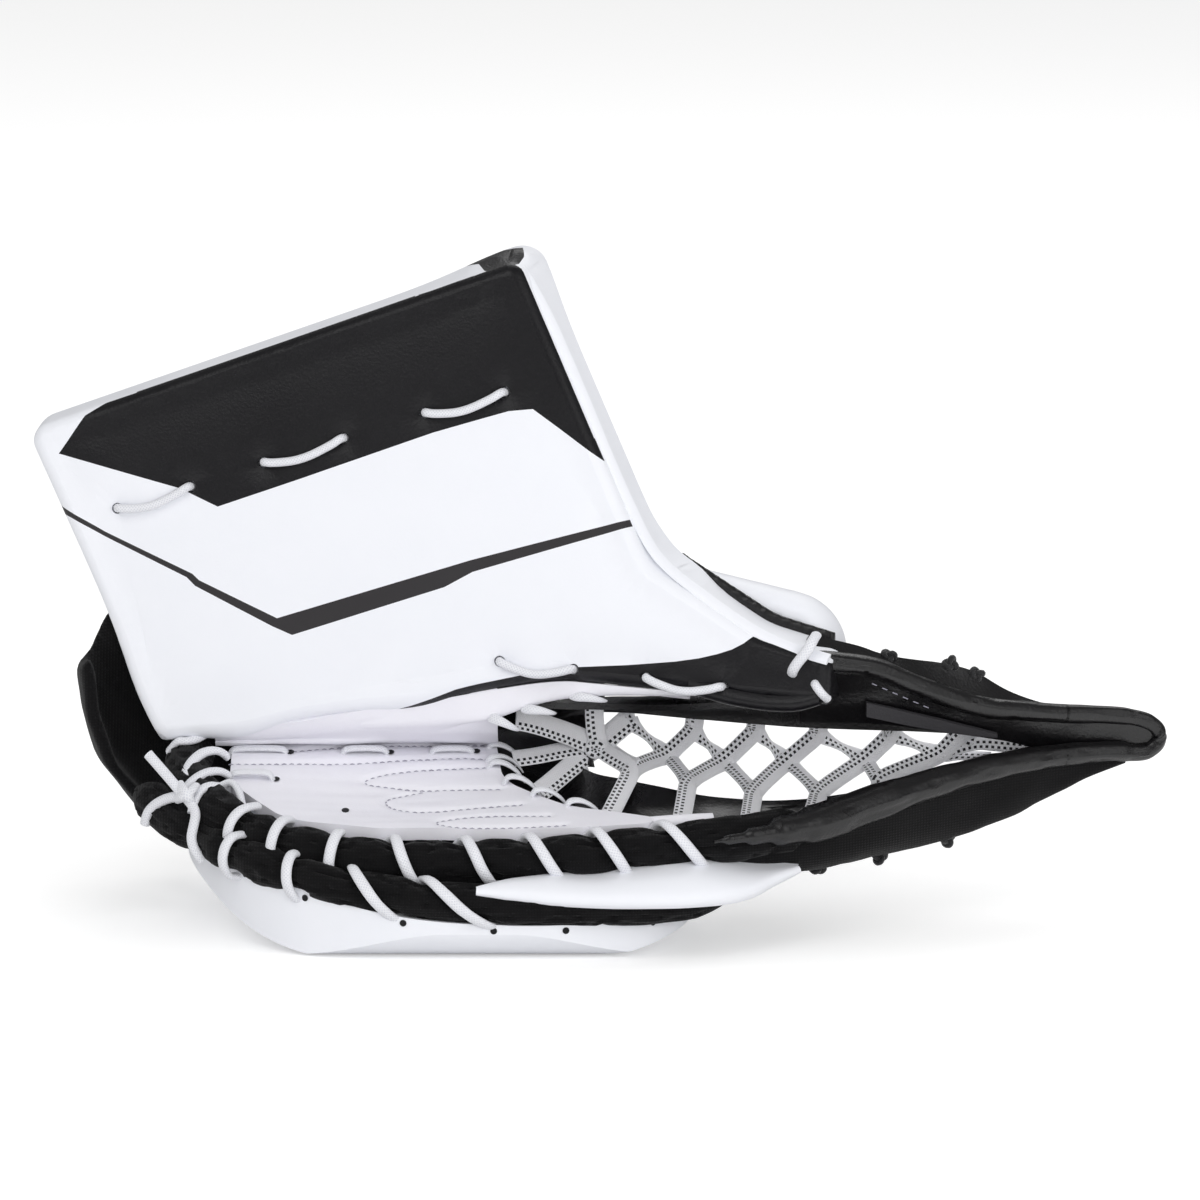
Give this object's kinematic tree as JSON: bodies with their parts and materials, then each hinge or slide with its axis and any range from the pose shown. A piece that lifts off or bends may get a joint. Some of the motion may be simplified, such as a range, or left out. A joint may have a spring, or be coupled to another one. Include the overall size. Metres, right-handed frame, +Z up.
{
  "type": "goalie catch glove",
  "caption": "Ice hockey goalie catch glove: padded cuff and thumb board over a laced palm, with a net pocket between two leather bars and a wrist strap.",
  "frame": {"origin": "on the flat of the backhand board that the glove rests on, under the middle of the palm", "axes": "+X towards the tip of the pocket, +Y away from the mouth, +Z up"},
  "size_m": [0.4363, 0.2115, 0.2493],
  "materials": {
    "white_leather": "white synthetic leather, fine grain",
    "palm_leather": "soft off-white palm leather with sewn rows",
    "black_leather": "black synthetic leather, fine grain, light sheen",
    "black_nylon": "ribbed black nylon",
    "black_mesh": "black knitted lining",
    "white_lace": "round white lace",
    "web_lace": "flat white skate lace with dark tracers",
    "black_lace": "black waxed lace",
    "plastic": "stiff polyethylene sheet",
    "foam": "closed cell foam",
    "webbing": "woven polyamide webbing",
    "hook": "moulded hook tape",
    "steel": "nickel plated steel wire"
  },
  "bodies": {
    "finger_side": {"backhand_board": "white_leather", "backhand_insert": "plastic", "backhand_roll": "black_nylon", "finger_board": "white_leather", "finger_roll": "black_nylon", "finger_stall_index": "black_mesh", "finger_stall_little": "black_mesh", "finger_stall_middle": "black_mesh", "finger_stall_ring": "black_mesh", "hand_strap": "webbing", "heel_laces": "white_lace", "lower_knots": "black_lace", "lower_pocket_bar": "black_leather", "lower_pocket_panel": "black_nylon", "lower_rim_strap": "black_leather", "palm": "palm_leather", "palm_crease": "palm_leather", "palm_edge_laces": "white_lace", "palm_laces": "white_lace", "palm_pad": "foam", "perimeter_lace_inner": "white_lace", "perimeter_lace_outer": "white_lace", "pocket_liner": "black_leather", "strap_loop_patch": "black_mesh", "strap_ring": "steel", "tip_cap": "black_leather", "web_laces": "web_lace", "wrist_strap": "webbing", "wrist_wrap": "black_nylon"},
    "thumb_side": {"board_binding": "white_leather", "cuff_insert": "plastic", "cuff_laces": "white_lace", "cuff_lining": "black_mesh", "cuff_thumb_board": "white_leather", "palm_thumb_panel": "palm_leather", "thumb_back_pad": "white_leather", "thumb_edge_laces": "white_lace", "thumb_gusset": "black_nylon", "thumb_stall": "black_mesh", "thumb_stay": "plastic", "thumb_tip_tie": "white_lace", "upper_knots": "black_lace", "upper_pocket_bar": "black_leather", "upper_pocket_panel": "black_leather", "upper_rim_strap": "black_leather"},
    "strap_end": {"strap_tab": "webbing", "strap_hook_patch": "hook"}
  },
  "joints": [
    {"name": "break_hinge", "type": "hinge", "parent": "finger_side", "child": "thumb_side", "pos_m": [0, 0.04, 0.0625], "axis": [1, 0, 0], "range_deg": [-25, 8], "stiffness_Nm_per_rad": 6, "deforming": ["web_laces", "palm_crease"]},
    {"name": "strap_hinge", "type": "hinge", "parent": "finger_side", "child": "strap_end", "pos_m": [0.046, 0.1178, 0.078], "axis": [0, 0, 1], "range_deg": [-150, 0]}
  ]
}
